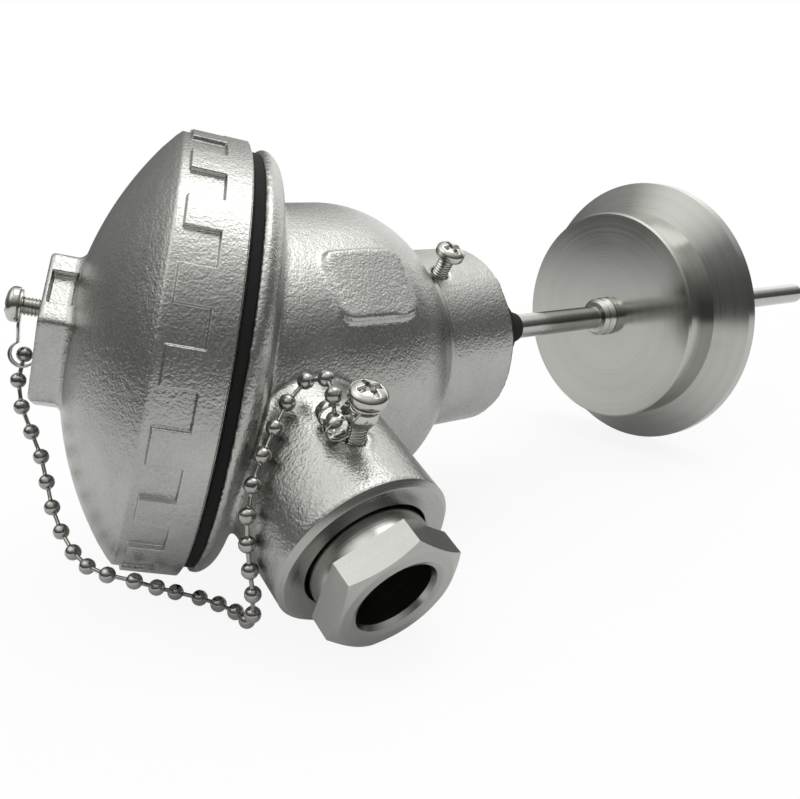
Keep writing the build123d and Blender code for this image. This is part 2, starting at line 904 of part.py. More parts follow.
with BuildPart() as block_springs:
    coil_height = spring_height - 2 * spring_wire - 4 * seat_gap
    for offset in (-stud_spacing / 2, stud_spacing / 2):
        foot = framed(head, (0, offset, plate_top + spring_wire + 2 * seat_gap))
        coil = Helix(
            pitch=coil_height / spring_turns,
            height=coil_height,
            radius=spring_radius - spring_wire / 2,
            center=foot.origin,
            direction=foot.z_dir,
        )
        with BuildSketch(Plane(origin=coil @ 0, z_dir=coil % 0)) as wire:
            Circle(spring_wire)
        sweep(wire.sketch, path=coil)
block_springs.part.label = "block_springs"
export_step(block_springs.part, "parts/block_springs.step")

# Three leads from the element through the powder and up to the terminals
with BuildPart() as lead_wires:
    for index in range(terminal_count):
        angle = degrees(2 * pi * index / terminal_count)
        lead_side = side(framed(head, (0, 0, 0), (cos(radians(angle)), sin(radians(angle)), 0)))
        with BuildLine(lead_side) as run:
            FilletPolyline(
                (lead_ring, element_top + 0.1),
                (lead_ring, block_top + 3),
                (terminal_ring - terminal_width / 2 - lead_radius, block_top + 1.5),
                radius=1.2,
            )
        with BuildSketch(Plane(origin=run.line @ 0, z_dir=run.line % 0)) as core:
            Circle(lead_radius)
        sweep(core.sketch, path=run.line)
lead_wires.part.label = "lead_wires"
export_step(lead_wires.part, "parts/lead_wires.step")

# Ball chain: hollow beads at an even pitch along the route, with a link between each two
with BuildLine() as chain_run:
    Spline(
        *[
            clasp_ball(cap_clasp_plane, cap_clasp_reach, cap_clasp_drop),
            *[bench.from_local_coords(point) for point in chain_route],
            clasp_ball(conduit_clasp_plane, conduit_clasp_reach, conduit_clasp_drop),
        ]
    )
chain_line = chain_run.edges()[0]
chain_pitch = chain_line.length / (chain_ball_count - 1)
ball_centres = [
    chain_line.position_at(index * chain_pitch, position_mode=PositionMode.LENGTH)
    for index in range(chain_ball_count)
]
with BuildPart() as chain_balls:
    with Locations(*ball_centres):
        Sphere(chain_ball_radius)
chain_balls.part.label = "chain_balls"
export_step(chain_balls.part, "parts/chain_balls.step")

with BuildPart() as chain_links:
    for start, end in zip(ball_centres, ball_centres[1:]):
        span = end - start
        link_length = span.length - 2 * (chain_ball_radius + seat_gap)
        foot = start + span.normalized() * (chain_ball_radius + seat_gap)
        with BuildSketch(Plane(origin=foot, z_dir=span)) as rod:
            Circle(chain_link_radius)
        extrude(rod.sketch, amount=link_length)
chain_links.part.label = "chain_links"
export_step(chain_links.part, "parts/chain_links.step")
print("chain pitch", round(chain_pitch, 3), "lowest ball", round(min(c.Z for c in ball_centres), 2))
print("middle of the footprint", round(centre_east, 3), round(centre_north, 3))
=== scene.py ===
"""A temperature sensor lying on a bench: cast head, chained cap, gland nut and clamp probe.

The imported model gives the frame. Every piece is in metres, in the row's own axes. Head
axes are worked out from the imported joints: the cap's axis, the cable entry's axis and the
probe's line, which meet in the cast head.
"""
import json
import logging
import math
from dataclasses import dataclass
from enum import Enum
from typing import Sequence

import bmesh
import bpy
import numpy as np
from mathutils import Matrix, Vector

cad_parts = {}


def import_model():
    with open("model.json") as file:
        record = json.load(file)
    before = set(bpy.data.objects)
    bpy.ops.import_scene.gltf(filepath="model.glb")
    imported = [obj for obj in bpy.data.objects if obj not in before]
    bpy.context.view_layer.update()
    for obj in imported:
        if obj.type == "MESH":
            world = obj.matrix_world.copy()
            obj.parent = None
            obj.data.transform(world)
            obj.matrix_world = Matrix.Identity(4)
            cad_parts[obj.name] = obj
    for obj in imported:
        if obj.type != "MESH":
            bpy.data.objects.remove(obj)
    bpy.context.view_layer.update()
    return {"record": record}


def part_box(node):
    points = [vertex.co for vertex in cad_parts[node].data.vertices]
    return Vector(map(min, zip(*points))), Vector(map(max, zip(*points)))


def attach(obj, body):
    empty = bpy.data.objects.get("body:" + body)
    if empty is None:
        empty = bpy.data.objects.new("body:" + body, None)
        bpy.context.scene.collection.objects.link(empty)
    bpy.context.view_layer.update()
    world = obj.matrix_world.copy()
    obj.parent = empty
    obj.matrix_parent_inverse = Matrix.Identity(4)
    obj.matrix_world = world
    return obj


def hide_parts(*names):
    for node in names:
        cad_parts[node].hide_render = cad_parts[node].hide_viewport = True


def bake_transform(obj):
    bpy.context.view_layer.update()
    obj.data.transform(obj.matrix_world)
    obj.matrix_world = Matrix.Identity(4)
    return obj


LOG = logging.getLogger("temperature_sensor")
MM = 0.001


class Body(Enum):
    """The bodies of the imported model."""

    SENSOR = "sensor"
    GASKET = "gasket"
    LID = "lid"
    LID_SCREW = "lid_screw"
    LID_CLASP = "lid_clasp"
    GLAND_THRUST = "gland_thrust"
    GLAND = "gland"
    BOSS_SCREW = "boss_screw"
    BOSS_CLASP = "boss_clasp"
    NECK_LOCK = "neck_lock"


@dataclass(frozen=True)
class Axes:
    """A right-handed set of axes with its origin, in the row's frame."""

    origin: np.ndarray
    x: np.ndarray
    y: np.ndarray
    z: np.ndarray

    @staticmethod
    def along(origin: Sequence[float], z: Sequence[float], x_hint: Sequence[float]) -> "Axes":
        """Axes whose z is given and whose x is the hint made square to it.

        Args:
            origin: the point they start from, in metres.
            z: the main direction.
            x_hint: a direction that x lies near.

        Returns:
            The axes.
        """
        main = np.asarray(z, float) / np.linalg.norm(z)
        hint = np.asarray(x_hint, float)
        across = hint - main * hint.dot(main)
        across /= np.linalg.norm(across)
        return Axes(np.asarray(origin, float), across, np.cross(main, across), main)

    def place(self, points: np.ndarray) -> np.ndarray:
        """Local points, in millimetres, as row points in metres."""
        local = np.asarray(points, float) * MM
        turned = (
            local[..., 0:1] * self.x + local[..., 1:2] * self.y + local[..., 2:3] * self.z
        )
        return self.origin + turned

    def at(self, x: float, y: float, z: float) -> np.ndarray:
        """One local point, in millimetres, as a row point in metres."""
        return self.place(np.array([x, y, z]))

    def moved(self, x: float, y: float, z: float) -> "Axes":
        """The same directions from another local point."""
        return Axes(self.at(x, y, z), self.x, self.y, self.z)


class Socket:
    """A shader socket or number with the operators that the finishes use."""

    def __init__(self, tree: "Shader", value: object) -> None:
        """Keep the tree and the wrapped output or number."""
        self.tree = tree
        self.value = value

    def _math(self, operation: str, *others: object) -> "Socket":
        """A Math node on this value and the others."""
        inputs = dict(enumerate((self, *others)))
        return self.tree.node("ShaderNodeMath", {"operation": operation}, inputs)

    def __add__(self, other: object) -> "Socket":
        """Sum."""
        return self._math("ADD", other)

    __radd__ = __add__

    def __sub__(self, other: object) -> "Socket":
        """Difference."""
        return self._math("SUBTRACT", other)

    def __rsub__(self, other: object) -> "Socket":
        """Difference, the other way round."""
        return Socket(self.tree, other)._math("SUBTRACT", self)

    def __mul__(self, other: object) -> "Socket":
        """Product."""
        return self._math("MULTIPLY", other)

    __rmul__ = __mul__

    def clamped(self) -> "Socket":
        """The value held between 0 and 1."""
        return self.tree.node(
            "ShaderNodeClamp", {}, {"Value": self, "Min": 0.0, "Max": 1.0}
        )

    def ramp(self, *stops: tuple[float, float]) -> "Socket":
        """The value run through grey stops of (position, level)."""
        colours = [(place, (level, level, level, 1.0)) for place, level in stops]
        return self.tree.node("ShaderNodeValToRGB", {"stops": colours}, {"Fac": self})


class Shader:
    """One node tree, built through one method and through socket expressions."""

    def __init__(self, tree: bpy.types.NodeTree) -> None:
        """Empty the tree.

        Args:
            tree: the material's or world's node tree.
        """
        self.tree = tree
        tree.nodes.clear()

    def node(
        self,
        kind: str,
        settings: dict[str, object] | None = None,
        inputs: dict[object, object] | None = None,
        output: object = 0,
    ) -> Socket:
        """Add one node, set it, then feed its sockets.

        Args:
            kind: the node's type name.
            settings: properties, or "stops" for a ramp.
            inputs: socket name or index to a number, tuple or Socket.
            output: the output socket's name or index.

        Returns:
            The chosen output.
        """
        made = self.tree.nodes.new(kind)
        for name, value in (settings or {}).items():
            if name == "stops":
                ramp = made.color_ramp
                while len(ramp.elements) < len(value):
                    ramp.elements.new(1.0)
                for element, (place, colour) in zip(ramp.elements, value):
                    element.position = place
                    element.color = colour
            else:
                setattr(made, name, value)
        for name, value in (inputs or {}).items():
            wrapped = value.value if isinstance(value, Socket) else value
            if isinstance(wrapped, bpy.types.NodeSocket):
                self.tree.links.new(wrapped, made.inputs[name])
            else:
                made.inputs[name].default_value = wrapped
        return Socket(self, made.outputs[output] if len(made.outputs) else None)

    def vector(self, operation: str, *parts: object) -> Socket:
        """A Vector Math node on vectors; a dot product or a length gives a number.

        Args:
            operation: the node's operation.
            parts: a Socket or a tuple for each input, in order.

        Returns:
            The vector or the number.
        """
        output = "Value" if operation in ("DOT_PRODUCT", "LENGTH") else 0
        settings = {"operation": operation}
        return self.node("ShaderNodeVectorMath", settings, dict(enumerate(parts)), output)

    def coordinates(self, axes: Axes | None = None) -> Socket:
        """Object coordinates, or coordinates along a set of axes.

        Args:
            axes: where the pattern is centred, or None for the row's axes.

        Returns:
            A vector socket, in metres.
        """
        plain = self.node("ShaderNodeTexCoord", {}, {}, "Object")
        if axes is None:
            return plain
        centred = self.vector("SUBTRACT", plain, tuple(axes.origin))
        parts = [
            self.vector("DOT_PRODUCT", centred, tuple(direction))
            for direction in (axes.x, axes.y, axes.z)
        ]
        return self.node("ShaderNodeCombineXYZ", {}, dict(enumerate(parts)))

    def noise(self, vector: Socket, per_mm: float, detail: float = 2.0, **more: float) -> Socket:
        """Noise with a number of cells for each millimetre."""
        inputs = {"Vector": vector, "Scale": per_mm / MM, "Detail": detail}
        inputs.update({name.capitalize(): value for name, value in more.items()})
        return self.node("ShaderNodeTexNoise", {}, inputs, "Fac")

    def mix(self, factor: Socket, low: object, high: object) -> Socket:
        """A colour between two colours."""
        return self.node(
            "ShaderNodeMix",
            {"data_type": "RGBA"},
            {0: factor, 6: low, 7: high},
            2,
        )

    def bump(
        self, height: Socket, strength: float, distance_mm: float, normal: object = None
    ) -> Socket:
        """A bump normal from a height."""
        inputs: dict[object, object] = {
            "Strength": strength,
            "Distance": distance_mm * MM,
            "Height": height,
        }
        if normal is not None:
            inputs["Normal"] = normal
        return self.node("ShaderNodeBump", {}, inputs)

    def surface(self, inputs: dict[object, object]) -> None:
        """Feed a Principled shader and the material's output."""
        shader = self.node("ShaderNodeBsdfPrincipled", {}, inputs)
        self.node("ShaderNodeOutputMaterial", {}, {"Surface": shader})


def new_material(name: str) -> tuple[bpy.types.Material, Shader]:
    """A material with an empty tree.

    Args:
        name: the finish's name.

    Returns:
        The material and its shader tree.
    """
    material = bpy.data.materials.new(name)
    material.use_nodes = True
    return material, Shader(material.node_tree)


def darker(colour: Sequence[float], share: float) -> tuple[float, ...]:
    """A colour whose red, green and blue are brought down to a share."""
    return tuple(share * part for part in colour[:3]) + (1.0,)


def towards(heading: float, rise: float) -> tuple[float, float, float]:
    """The direction of a heading and a rise, both in degrees."""
    turn, lift = math.radians(heading), math.radians(rise)
    return math.cos(lift) * math.cos(turn), math.cos(lift) * math.sin(turn), math.sin(lift)


@dataclass(frozen=True)
class CastSteel:
    """Blasted cast stainless steel: a fine pebbled skin with small pits.

    The height is fine noise for the shell grain plus a coarser, softer swell. A band
    between two heights can be left smooth, as where a cutter has passed.
    """

    name: str = "cast_steel"
    low: tuple[float, float, float, float] = (0.36, 0.365, 0.345, 1.0)
    high: tuple[float, float, float, float] = (0.50, 0.505, 0.48, 1.0)
    roughness: float = 0.30
    grain_per_mm: float = 1.9
    swell_per_mm: float = 0.7
    grain_height_mm: float = 0.17
    swell_height_mm: float = 0.16
    pit_per_mm: float = 0.42
    smooth: tuple[Axes, float, float] | None = None

    def smoothness(self, shader: Shader) -> Socket:
        """1 inside the smooth band, 0 elsewhere."""
        if self.smooth is None:
            return Socket(shader, 0.0)
        axes, low, high = self.smooth
        height = shader.vector("DOT_PRODUCT", shader.coordinates(axes), (0.0, 0.0, 1.0))
        rise = ((height * (1 / MM) - low) * 1.6).clamped()
        fall = ((high - height * (1 / MM)) * 1.6).clamped()
        return rise * fall

    def build(self) -> bpy.types.Material:
        """The finish as a material."""
        material, shader = new_material(self.name)
        place = shader.coordinates()
        keep = 1.0 - self.smoothness(shader) * 0.85
        grain = shader.noise(place, self.grain_per_mm, 2.5, roughness=0.5)
        swell = shader.noise(place, self.swell_per_mm, 2.0, roughness=0.5)
        stain = shader.noise(place, 0.05, 4.0, roughness=0.6)
        pits = shader.node(
            "ShaderNodeTexVoronoi", {}, {"Vector": place, "Scale": self.pit_per_mm / MM}, "Distance"
        ).ramp((0.0, 0.0), (0.14, 1.0))
        tone = (grain * 0.35 + stain * 0.65).ramp((0.35, 0.0), (0.65, 1.0))
        colour = shader.mix(tone, self.low, self.high)
        soft = shader.bump(swell * keep, 0.6, self.swell_height_mm)
        rough = shader.bump((grain * 0.8 + pits * 0.25) * keep, 0.9, self.grain_height_mm, soft)
        shader.surface(
            {
                "Base Color": colour,
                "Metallic": 1.0,
                "Roughness": (grain - 0.5) * 0.16 + self.roughness,
                "Normal": rough,
            }
        )
        return material


@dataclass(frozen=True)
class TurnedSteel:
    """Machined stainless steel: fine rings round an axis, on faces and on walls.

    The height is noise on the radius and the height alone, so it runs in rings.
    """

    name: str
    axes: Axes
    colour: tuple[float, float, float, float] = (0.44, 0.445, 0.42, 1.0)
    roughness: float = 0.24
    ring_per_mm: float = 3.2
    ring_height_mm: float = 0.012

    def build(self) -> bpy.types.Material:
        """The finish as a material."""
        material, shader = new_material(self.name)
        place = shader.coordinates(self.axes)
        radius = shader.vector("LENGTH", shader.vector("MULTIPLY", place, (1.0, 1.0, 0.0)))
        height = shader.vector("DOT_PRODUCT", place, (0.0, 0.0, 1.0))
        ring_place = shader.node("ShaderNodeCombineXYZ", {}, {0: radius, 1: height, 2: 0.0})
        rings = shader.noise(ring_place, self.ring_per_mm, 3.0, roughness=0.6)
        wide = shader.noise(ring_place, self.ring_per_mm * 0.18, 2.0)
        smear = shader.noise(place, 0.09, 3.0)
        shade = (rings * 0.5 + wide * 0.3 + smear * 0.2).ramp((0.3, 0.0), (0.7, 1.0))
        dark = darker(self.colour, 0.84)
        shader.surface(
            {
                "Base Color": shader.mix(shade, dark, self.colour),
                "Metallic": 1.0,
                "Roughness": (rings - 0.5) * 0.14 + (smear - 0.5) * 0.08 + self.roughness,
                "Normal": shader.bump(rings + wide * 0.6, 0.5, self.ring_height_mm),
            }
        )
        return material


@dataclass(frozen=True)
class BrightMetal:
    """Plated or drawn metal: smooth, with faint wear in its gloss."""

    name: str
    colour: tuple[float, float, float, float] = (0.58, 0.57, 0.54, 1.0)
    roughness: float = 0.12
    wear_per_mm: float = 0.6

    def build(self) -> bpy.types.Material:
        """The finish as a material."""
        material, shader = new_material(self.name)
        place = shader.coordinates()
        wear = shader.noise(place, self.wear_per_mm, 4.0, roughness=0.6)
        dark = darker(self.colour, 0.8)
        shader.surface(
            {
                "Base Color": shader.mix(wear.ramp((0.3, 0.0), (0.7, 1.0)), dark, self.colour),
                "Metallic": 1.0,
                "Roughness": (wear - 0.5) * 0.12 + self.roughness,
                "Normal": shader.bump(wear, 0.2, 0.02),
            }
        )
        return material


@dataclass(frozen=True)
class MattSolid:
    """Rubber, ceramic or powder: a dull solid with a fine grain."""

    name: str
    colour: tuple[float, float, float, float]
    roughness: float = 0.6
    grain_per_mm: float = 4.0

    def build(self) -> bpy.types.Material:
        """The finish as a material."""
        material, shader = new_material(self.name)
        place = shader.coordinates()
        grain = shader.noise(place, self.grain_per_mm, 3.0)
        dark = darker(self.colour, 0.82)
        shader.surface(
            {
                "Base Color": shader.mix(grain, dark, self.colour),
                "Roughness": (grain - 0.5) * 0.2 + self.roughness,
                "Normal": shader.bump(grain, 0.25, 0.03),
            }
        )
        return material


def quads(rows: int, columns: int, wrap: bool) -> np.ndarray:
    """Faces of a grid of rows by columns, closed round its columns where asked.

    Args:
        rows: points along the first parameter.
        columns: points along the second parameter.
        wrap: whether the last column joins the first.

    Returns:
        An array of four corner indices for each face.
    """
    row = np.arange(rows - 1)[:, None]
    column = np.arange(columns if wrap else columns - 1)[None, :]
    follow = (column + 1) % columns
    first = row * columns
    second = (row + 1) * columns
    faces = np.stack(
        [first + column, first + follow, second + follow, second + column], axis=-1
    )
    return faces.reshape(-1, 4)


def mesh_object(
    name: str, points: np.ndarray, faces: np.ndarray, smooth: bool = True
) -> bpy.types.Object:
    """A mesh object from point and quad arrays, with outward normals.

    Args:
        name: the piece's name.
        points: row points in metres.
        faces: four corner indices for each face.
        smooth: whether the faces shade smoothly.

    Returns:
        The object, linked to the scene.
    """
    mesh = bpy.data.meshes.new(name)
    mesh.vertices.add(len(points))
    mesh.vertices.foreach_set("co", np.ascontiguousarray(points, np.float32).ravel())
    mesh.loops.add(faces.size)
    mesh.loops.foreach_set("vertex_index", faces.astype(np.int32).ravel())
    mesh.polygons.add(len(faces))
    mesh.polygons.foreach_set("loop_start", np.arange(0, faces.size, 4, dtype=np.int32))
    mesh.update(calc_edges=True)
    tidy_mesh(mesh)
    mesh.polygons.foreach_set("use_smooth", np.full(len(mesh.polygons), smooth))
    piece = bpy.data.objects.new(name, mesh)
    bpy.context.scene.collection.objects.link(piece)
    return piece


def tidy_mesh(mesh: bpy.types.Mesh, distance: float = 1e-6) -> None:
    """Merge doubles, drop empty faces and turn the faces outwards."""
    work = bmesh.new()
    work.from_mesh(mesh)
    bmesh.ops.remove_doubles(work, verts=work.verts, dist=distance)
    bmesh.ops.dissolve_degenerate(work, edges=work.edges, dist=distance)
    bmesh.ops.recalc_face_normals(work, faces=work.faces)
    work.to_mesh(mesh)
    work.free()


def rounded(outline: Sequence[tuple[float, float, float]], steps: int = 5) -> np.ndarray:
    """An outline whose corners are rounded by arcs.

    Each corner is (radius, height, corner round). A corner's arc touches both its sides
    at its tangent length, and its points turn evenly between them.

    Args:
        outline: the corners of a closed outline.
        steps: segments in each arc.

    Returns:
        The points of the closed outline.
    """
    corners = np.array([point[:2] for point in outline], float)
    result: list[np.ndarray] = []
    for index, (_, _, size) in enumerate(outline):
        here = corners[index]
        before = corners[index - 1] - here
        after = corners[(index + 1) % len(corners)] - here
        lengths = np.linalg.norm(before), np.linalg.norm(after)
        before = before / lengths[0]
        after = after / lengths[1]
        opening = math.acos(float(np.clip(before @ after, -1, 1)))
        if size <= 0 or opening > math.pi - 0.02:
            result.append(here[None, :])
            continue
        reach = min(size / math.tan(opening / 2), 0.45 * min(lengths))
        radius = reach * math.tan(opening / 2)
        middle = here + (before + after) / np.linalg.norm(before + after) * (
            radius / math.sin(opening / 2)
        )
        start = here + before * reach - middle
        end = here + after * reach - middle
        low = math.atan2(start[1], start[0])
        sweep = math.atan2(end[1], end[0]) - low
        sweep = (sweep + math.pi) % (2 * math.pi) - math.pi
        angle = low + sweep * np.linspace(0, 1, steps + 1)
        result.append(middle + radius * np.stack([np.cos(angle), np.sin(angle)], axis=1))
    return np.concatenate(result)


def lathe(name: str, axes: Axes, outline: np.ndarray, around: int = 128) -> bpy.types.Object:
    """A closed outline of (radius, height) turned about an axis.

    A point at outline place i and angle a is radius times (cos a, sin a) with its height.

    Args:
        name: the piece's name.
        axes: the axis is their z.
        outline: points in millimetres.
        around: steps in a full turn.

    Returns:
        The piece.
    """
    closed = np.concatenate([outline, outline[:1]])
    angle = np.linspace(0, 2 * np.pi, around, endpoint=False)
    radius = closed[:, 0][:, None]
    height = np.broadcast_to(closed[:, 1][:, None], (len(closed), around))
    grid = np.stack([radius * np.cos(angle), radius * np.sin(angle), height], axis=-1)
    return mesh_object(name, axes.place(grid.reshape(-1, 3)), quads(len(closed), around, True))


def sphere_points(
    centre: np.ndarray, radius: float, pole: np.ndarray, rings: int, around: int
) -> np.ndarray:
    """A ball's grid: latitude by longitude about a pole direction.

    Args:
        centre: row point in metres.
        radius: in millimetres.
        pole: direction of its axis.
        rings: latitude steps.
        around: longitude steps.

    Returns:
        The points ring after ring, with a faint groove round the ball's middle.
    """
    hint = (0.0, 0.0, 1.0) if abs(pole[2]) < 0.9 else (1.0, 0.0, 0.0)
    axes = Axes.along(centre, pole, hint)
    latitude = np.linspace(0, np.pi, rings)[:, None]
    longitude = np.linspace(0, 2 * np.pi, around, endpoint=False)[None, :]
    seam = 1.0 - 0.035 * np.exp(-(((latitude - np.pi / 2) / 0.07) ** 2))
    across = radius * np.sin(latitude) * seam
    grid = np.stack(
        [
            across * np.cos(longitude),
            across * np.sin(longitude),
            np.broadcast_to(radius * np.cos(latitude), (rings, around)),
        ],
        axis=-1,
    )
    return axes.place(grid.reshape(-1, 3))


def cast_copy(
    name: str, nodes: Sequence[str], voxel_mm: float, smooth_rounds: int
) -> bpy.types.Object:
    """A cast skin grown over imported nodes: remeshed, then smoothed so that edges soften.

    Args:
        name: the piece's name.
        nodes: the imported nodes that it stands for.
        voxel_mm: the remesh size.
        smooth_rounds: how many smoothing passes soften its corners.

    Returns:
        The piece, with its modifiers applied.
    """
    work = bmesh.new()
    for node in nodes:
        work.from_mesh(bpy.data.objects[node].data)
    mesh = bpy.data.meshes.new(name)
    work.to_mesh(mesh)
    work.free()
    piece = bpy.data.objects.new(name, mesh)
    bpy.context.scene.collection.objects.link(piece)
    tidy_mesh(mesh, 1e-5)
    remesh = piece.modifiers.new("skin", "REMESH")
    remesh.mode = "VOXEL"
    remesh.voxel_size = voxel_mm * MM
    remesh.use_smooth_shade = True
    soften = piece.modifiers.new("soften", "SMOOTH")
    soften.factor = 0.5
    soften.iterations = smooth_rounds
    apply_modifiers(piece)
    return piece


def apply_modifiers(piece: bpy.types.Object) -> None:
    """Make a piece's modifiers part of its mesh."""
    graph = bpy.context.evaluated_depsgraph_get()
    graph.update()
    finished = bpy.data.meshes.new_from_object(piece.evaluated_get(graph))
    piece.modifiers.clear()
    old = piece.data
    piece.data = finished
    finished.name = piece.name
    bpy.data.meshes.remove(old)


def dress(piece: bpy.types.Object, finish: bpy.types.Material) -> None:
    """Give every slot of a piece one finish."""
    piece.data.materials.clear()
    piece.data.materials.append(finish)


def dress_node(node: str, finish: bpy.types.Material) -> None:
    """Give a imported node's object a finish through its slots."""
    carried = bpy.data.objects[node]
    if not carried.material_slots:
        carried.data.materials.append(finish)
    for slot in carried.material_slots:
        slot.material = finish


@dataclass
class Finishes:
    """Every finish of the sensor, made once."""

    cast: bpy.types.Material
    cast_head: bpy.types.Material
    nut: bpy.types.Material
    entry: bpy.types.Material
    probe: bpy.types.Material
    nickel: bpy.types.Material
    bead: bpy.types.Material
    wire: bpy.types.Material
    rubber: bpy.types.Material
    ceramic: bpy.types.Material
    powder: bpy.types.Material
    brass: bpy.types.Material

    @staticmethod
    def make(head: Axes, entry: Axes) -> "Finishes":
        """All the finishes.

        Args:
            head: the probe's axes.
            entry: the cable entry's axes.

        Returns:
            The set.
        """
        return Finishes(
            cast=CastSteel().build(),
            cast_head=CastSteel("cast_head", smooth=(head, -47.0, -38.5)).build(),
            nut=TurnedSteel("turned_nut", entry).build(),
            entry=TurnedSteel("turned_entry", entry, roughness=0.28).build(),
            probe=TurnedSteel(
                "polished_probe", head, colour=(0.50, 0.505, 0.475, 1.0), roughness=0.17,
                ring_per_mm=2.2, ring_height_mm=0.006,
            ).build(),
            nickel=BrightMetal("nickel_plate").build(),
            bead=BrightMetal("bead_plate", (0.42, 0.41, 0.39, 1.0), 0.17).build(),
            wire=BrightMetal("spring_wire", roughness=0.24).build(),
            rubber=MattSolid("black_rubber", (0.006, 0.006, 0.006, 1.0), 0.85).build(),
            ceramic=MattSolid("ceramic", (0.84, 0.82, 0.76, 1.0), 0.5).build(),
            powder=MattSolid("powder", (0.78, 0.76, 0.70, 1.0), 0.8).build(),
            brass=BrightMetal("terminal_brass", (0.70, 0.52, 0.24, 1.0), 0.28).build(),
        )


@dataclass
class HeadFrame:
    """The sensor's own axes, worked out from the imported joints."""

    flange: Axes
    entry: Axes
    head: Axes

    @staticmethod
    def read(joints: dict[str, dict]) -> "HeadFrame":
        """Read the cap's and the gland's axes and cross them into the head's.

        Args:
            joints: joint name to its packed values.

        Returns:
            The axes of the flange, the entry and the head.
        """
        cap = joints["cap_turn"]
        gland = joints["gland_turn"]
        cap_axis = np.array(cap["axis"], float)
        entry_axis = np.array(gland["axis"], float)
        cross = np.cross(cap_axis, entry_axis)
        cross /= np.linalg.norm(cross)
        up_probe = np.cross(entry_axis, cross)
        if up_probe @ cap_axis < 0:
            up_probe, cross = -up_probe, -cross
        foot = np.array(gland["pos_m"], float) - entry_axis * 60 * MM
        head = Axes(foot, entry_axis, cross, up_probe)
        flange = Axes.along(cap["pos_m"], cap_axis, entry_axis)
        entry = Axes.along(foot, entry_axis, up_probe)
        return HeadFrame(flange, entry, head)


def smooth_step(value: np.ndarray, edge: float, width: float) -> np.ndarray:
    """0 below an edge, 1 above it, with a smooth rise of the given width."""
    share = np.clip((value - edge) / width + 0.5, 0, 1)
    return share * share * (3 - 2 * share)


def grid_object(name: str, axes: Axes, grid: np.ndarray) -> bpy.types.Object:
    """A piece from a local grid of rows by columns whose columns close round."""
    rows, columns = grid.shape[:2]
    return mesh_object(name, axes.place(grid.reshape(-1, 3)), quads(rows, columns, True))


@dataclass
class CastHead:
    """The cast connection head: its skin, its machined entry face and its gasket."""

    frames: HeadFrame
    finishes: Finishes
    voxel_mm: float = 0.62
    smooth_rounds: int = 3
    entry_end: float = 59.4
    entry_radius: float = 18.4
    entry_chamfer: float = 1.1
    counterbore: float = 13.0

    def skin(self) -> bpy.types.Object:
        """The casting itself."""
        nodes = ("head_body", "entry_boss")
        piece = cast_copy("head_casting", nodes, self.voxel_mm, self.smooth_rounds)
        dress(piece, self.finishes.cast_head)
        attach(piece, Body.SENSOR.value)
        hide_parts(*nodes)
        return piece

    def entry_face(self) -> bpy.types.Object:
        """The turned face round the entry, a thin ring seated on the boss."""
        end = self.entry_end
        outline = rounded(
            [
                (self.counterbore + 0.02, end - 2.6, 0.0),
                (self.counterbore + 0.02, end + 0.04, 0.25),
                (self.entry_radius - self.entry_chamfer, end + 0.04, 0.15),
                (self.entry_radius + 0.05, end - self.entry_chamfer, 0.1),
                (self.entry_radius - 0.6, end - self.entry_chamfer - 0.7, 0.0),
                (self.counterbore + 1.5, end - 1.4, 0.0),
            ]
        )
        piece = lathe("entry_face", self.frames.entry, outline)
        dress(piece, self.finishes.entry)
        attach(piece, Body.SENSOR.value)
        return piece

    def build(self) -> None:
        """Make and dress the head's pieces."""
        LOG.info("head: %d faces", len(self.skin().data.polygons))
        LOG.info("head: %s", self.entry_face().name)
        dress_node("cap_gasket", self.finishes.rubber)


